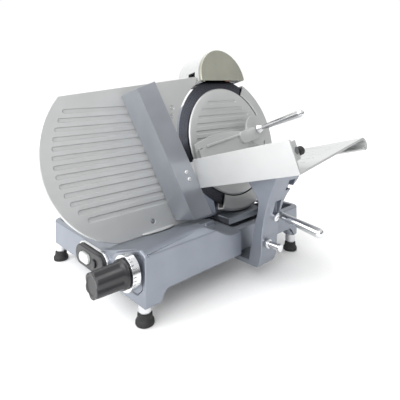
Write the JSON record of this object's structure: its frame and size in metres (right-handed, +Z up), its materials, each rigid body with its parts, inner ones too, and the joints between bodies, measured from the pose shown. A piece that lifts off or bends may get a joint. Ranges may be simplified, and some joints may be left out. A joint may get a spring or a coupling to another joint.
{
  "type": "deli meat slicer",
  "caption": "Gravity-feed deli slicer: leaning round blade, fluted gauge plate, sliding carriage with tray, fence and swing pusher, dial knob and sharpener hood.",
  "frame": {"origin": "centre of the machine's outline on the bench that the feet stand on", "axes": "+X along the carriage travel, away from the dial; -Y towards the product tray and the operator; +Z up"},
  "size_m": [0.605, 0.4766, 0.4376],
  "materials": {
    "cast_aluminium": "anodised casting, fine satin grain",
    "anodised_plate": "satin anodised",
    "sheet_steel": "brushed stainless sheet",
    "hood_paint": "warm grey anodised",
    "blade_steel": "hard chromed, polished edge",
    "bright_steel": "polished",
    "machined_steel": "turned",
    "black_rubber": "matt",
    "black_plastic": "fine moulded grain",
    "grey_plastic": "moulded",
    "bronze": "sintered bronze",
    "motor_paint": "semi-matt enamel",
    "circuit_board": "solder mask",
    "white_stone": "fine vitrified abrasive",
    "red_stone": "fine vitrified abrasive"
  },
  "bodies": {
    "base": {"base_casting": "cast_aluminium", "bottom_plate": "sheet_steel", "bottom_plate_screws": "bright_steel", "foot_stems": "bright_steel", "foot_pads": "black_rubber", "switch_housing": "black_plastic", "switch_bezel": "bright_steel", "cable_gland": "black_plastic", "control_board": "circuit_board", "motor_capacitor": "motor_paint", "blade_housing": "cast_aluminium", "housing_rear_cover": "anodised_plate", "motor_cover": "cast_aluminium", "motor_body": "motor_paint", "drive_belt": "black_rubber", "hub_bearings": "machined_steel", "blade_cover": "anodised_plate", "cover_tie_bolt": "bright_steel", "ring_guard": "anodised_plate", "slice_deflector": "sheet_steel", "sharpener_post": "bright_steel", "gauge_rods": "bright_steel", "carriage_rail": "bright_steel", "support_rail": "bright_steel"},
    "start_switch": {"start_button": "grey_plastic"},
    "stop_switch": {"stop_button": "black_plastic"},
    "motor_rotor": {"motor_pulley": "machined_steel"},
    "blade_rotor": {"blade": "blade_steel", "blade_shaft": "machined_steel", "blade_pulley": "machined_steel", "blade_screws": "bright_steel"},
    "cover_release": {"cover_knob": "black_plastic"},
    "sharpener": {"sharpener_body": "anodised_plate", "sharpener_hood": "hood_paint"},
    "sharpener_lock": {"sharpener_lock_knob": "black_plastic"},
    "grind_plunger": {"grind_button": "black_plastic"},
    "grind_wheel": {"grind_stone": "white_stone"},
    "hone_plunger": {"hone_button": "black_plastic"},
    "hone_wheel": {"hone_stone": "red_stone"},
    "thickness_knob": {"knob_grip": "black_plastic", "dial_ring": "bright_steel", "knob_shaft": "machined_steel"},
    "gauge": {"gauge_plate": "anodised_plate", "gauge_screws": "bright_steel", "gauge_slide": "anodised_plate"},
    "carriage": {"carriage_block": "cast_aluminium", "carriage_arm": "cast_aluminium", "carriage_handle": "bright_steel", "tray_floor": "anodised_plate", "tray_side_wall": "anodised_plate", "product_fence": "sheet_steel", "fence_screws": "bright_steel", "pusher_rod": "bright_steel", "rod_bumper": "black_rubber"},
    "roller": {"carriage_roller": "grey_plastic"},
    "tray_lock": {"tray_lock_knob": "bright_steel"},
    "pusher_carrier": {"pusher_bush": "bronze"},
    "pusher": {"pusher_sleeve": "anodised_plate", "pusher_plate": "anodised_plate", "pusher_handle": "bright_steel"}
  },
  "joints": [
    {"name": "start_push", "type": "slide", "parent": "base", "child": "start_switch", "axis": [1, 0, 0], "range_m": [0, 0.0025], "stiffness_N_per_m": 300},
    {"name": "stop_push", "type": "slide", "parent": "base", "child": "stop_switch", "axis": [1, 0, 0], "range_m": [0, 0.0025], "stiffness_N_per_m": 300},
    {"name": "blade_spin", "type": "hinge", "parent": "base", "child": "blade_rotor", "pos_m": [0.1425, 0.0643, 0.221], "axis": [0, -0.9613, 0.2756], "continuous": true},
    {"name": "motor_spin", "type": "hinge", "parent": "base", "child": "motor_rotor", "pos_m": [0.1305, 0.13507, 0.105], "axis": [0, -0.9613, 0.2756], "continuous": true},
    {"name": "cover_knob_turn", "type": "hinge", "parent": "base", "child": "cover_release", "pos_m": [0.1425, 0.15082, 0.19619], "axis": [0, -0.9613, 0.2756], "range_deg": [0, 720]},
    {"name": "sharpener_lift", "type": "slide", "parent": "base", "child": "sharpener", "axis": [0, 0.2756, 0.9613], "range_m": [0, 0.022]},
    {"name": "sharpener_lock_turn", "type": "hinge", "parent": "sharpener", "child": "sharpener_lock", "pos_m": [0.1545, 0.18668, 0.35756], "axis": [0, -0.9613, 0.2756], "range_deg": [0, 720]},
    {"name": "grind_push", "type": "slide", "parent": "sharpener", "child": "grind_plunger", "axis": [0, -0.9613, 0.2756], "range_m": [0, 0.0045], "stiffness_N_per_m": 400},
    {"name": "grind_spin", "type": "hinge", "parent": "grind_plunger", "child": "grind_wheel", "pos_m": [0.1285, 0.11925, 0.37273], "axis": [0, -0.9613, 0.2756], "continuous": true},
    {"name": "hone_pull", "type": "slide", "parent": "sharpener", "child": "hone_plunger", "axis": [0, 0.9613, -0.2756], "range_m": [0, 0.004], "stiffness_N_per_m": 400},
    {"name": "hone_spin", "type": "hinge", "parent": "hone_plunger", "child": "hone_wheel", "pos_m": [0.1765, 0.10388, 0.38442], "axis": [0, -0.9613, 0.2756], "continuous": true},
    {"name": "knob_turn", "type": "hinge", "parent": "base", "child": "thickness_knob", "pos_m": [-0.013, -0.0837, 0.085], "axis": [1, 0, 0], "range_deg": [0, 300]},
    {"name": "gauge_travel", "type": "slide", "parent": "base", "child": "gauge", "axis": [0, 0.9613, -0.2756], "range_m": [0, 0.013]},
    {"name": "carriage_slide", "type": "slide", "parent": "base", "child": "carriage", "axis": [1, 0, 0], "range_m": [-0.18, 0.055]},
    {"name": "roller_spin", "type": "hinge", "parent": "carriage", "child": "roller", "pos_m": [0.0205, -0.0887, 0.066], "axis": [0, 1, 0], "range_deg": [-1290, 395]},
    {"name": "tray_lock_turn", "type": "hinge", "parent": "carriage", "child": "tray_lock", "pos_m": [0.0115, -0.1467, 0.077], "axis": [0, -1, 0], "range_deg": [0, 720]},
    {"name": "pusher_slide", "type": "slide", "parent": "carriage", "child": "pusher_carrier", "axis": [0, -0.9613, 0.2756], "range_m": [0, 0.165]},
    {"name": "pusher_swing", "type": "hinge", "parent": "pusher_carrier", "child": "pusher", "pos_m": [-0.0046, -0.00698, 0.19007], "axis": [0, -0.9613, 0.2756], "range_deg": [0, 50]}
  ],
  "couplings": [
    {"joint": "motor_spin", "follows": "blade_spin", "ratio": 4},
    {"joint": "knob_turn", "follows": "gauge_travel", "rad_per_m": 402.76},
    {"joint": "roller_spin", "follows": "carriage_slide", "rad_per_m": 125}
  ]
}
